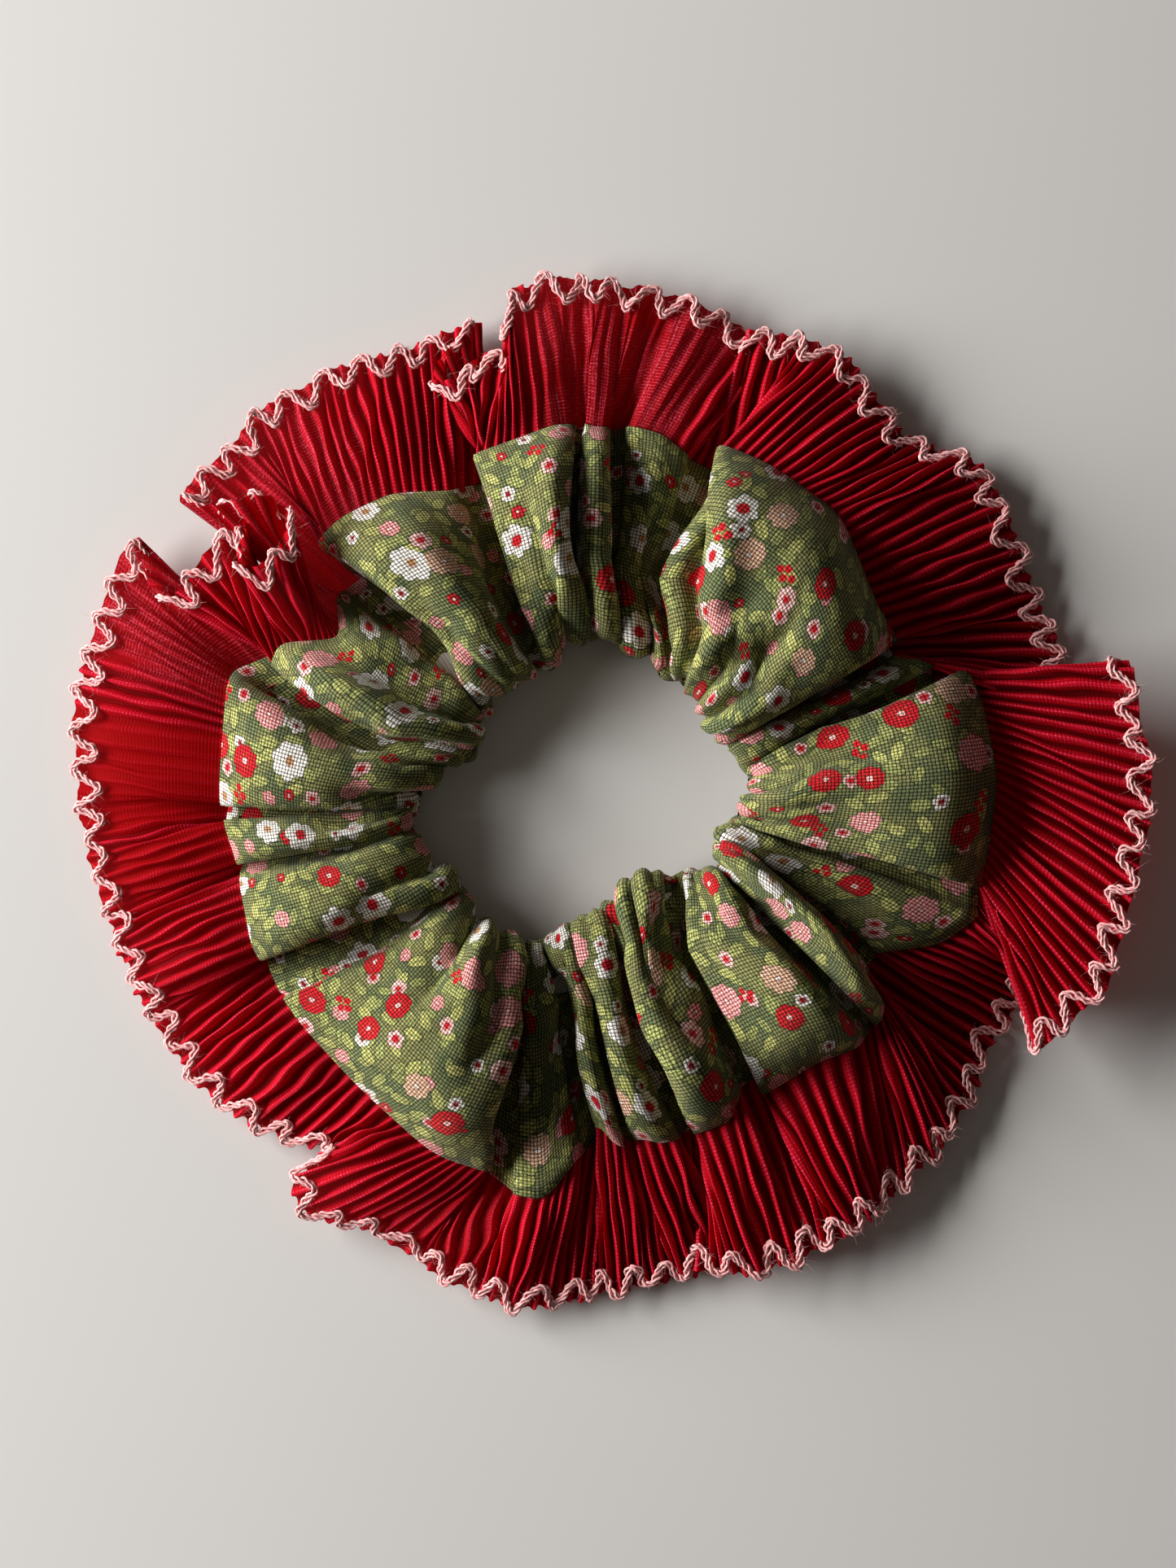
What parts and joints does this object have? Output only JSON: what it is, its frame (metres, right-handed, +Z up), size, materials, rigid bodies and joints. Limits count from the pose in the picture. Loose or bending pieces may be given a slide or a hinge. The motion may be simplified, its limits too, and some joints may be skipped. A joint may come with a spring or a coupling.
{
  "type": "ruffled hair scrunchie",
  "caption": "Gathered cloth scrunchie over an elastic ring, with a pleated chiffon ruffle sewn into its outer seam and a zigzag yarn edging.",
  "frame": {"origin": "centre of the hair opening, at the level of the surface that the scrunchie lies on", "axes": "+Z up through the hair opening, which is the shortest way through the ring; +X to the wide right-hand flap of the ruffle, the longest way across, and the way the ring stretches; +Y across the ring"},
  "size_m": [0.1467, 0.139, 0.019],
  "materials": {
    "floral_cotton": "plain-weave printed cotton, matt",
    "pleated_chiffon": "semi-sheer pleated chiffon, soft sheen",
    "edging_yarn": "soft two-ply yarn, slightly fuzzy",
    "woven_elastic": "woven cover over rubber strands, matt",
    "green_thread": "spun polyester thread",
    "red_thread": "spun polyester thread"
  },
  "bodies": {
    "left_half": {"casing_left": "floral_cotton", "ruffle_left": "pleated_chiffon", "edging_left": "edging_yarn", "elastic_left": "woven_elastic", "rim_stitches_left": "green_thread", "header_stitches_left": "red_thread", "closing_seam_stitches": "green_thread", "elastic_join_stitches": "green_thread", "ruffle_join_stitches": "red_thread"},
    "right_half": {"casing_right": "floral_cotton", "ruffle_right": "pleated_chiffon", "edging_right": "edging_yarn", "elastic_right": "woven_elastic", "rim_stitches_right": "green_thread", "header_stitches_right": "red_thread"}
  },
  "joints": [
    {"name": "stretch", "type": "slide", "parent": "left_half", "child": "right_half", "axis": [1, 0, 0], "range_m": [0, 0.075], "stiffness_N_per_m": 60}
  ]
}
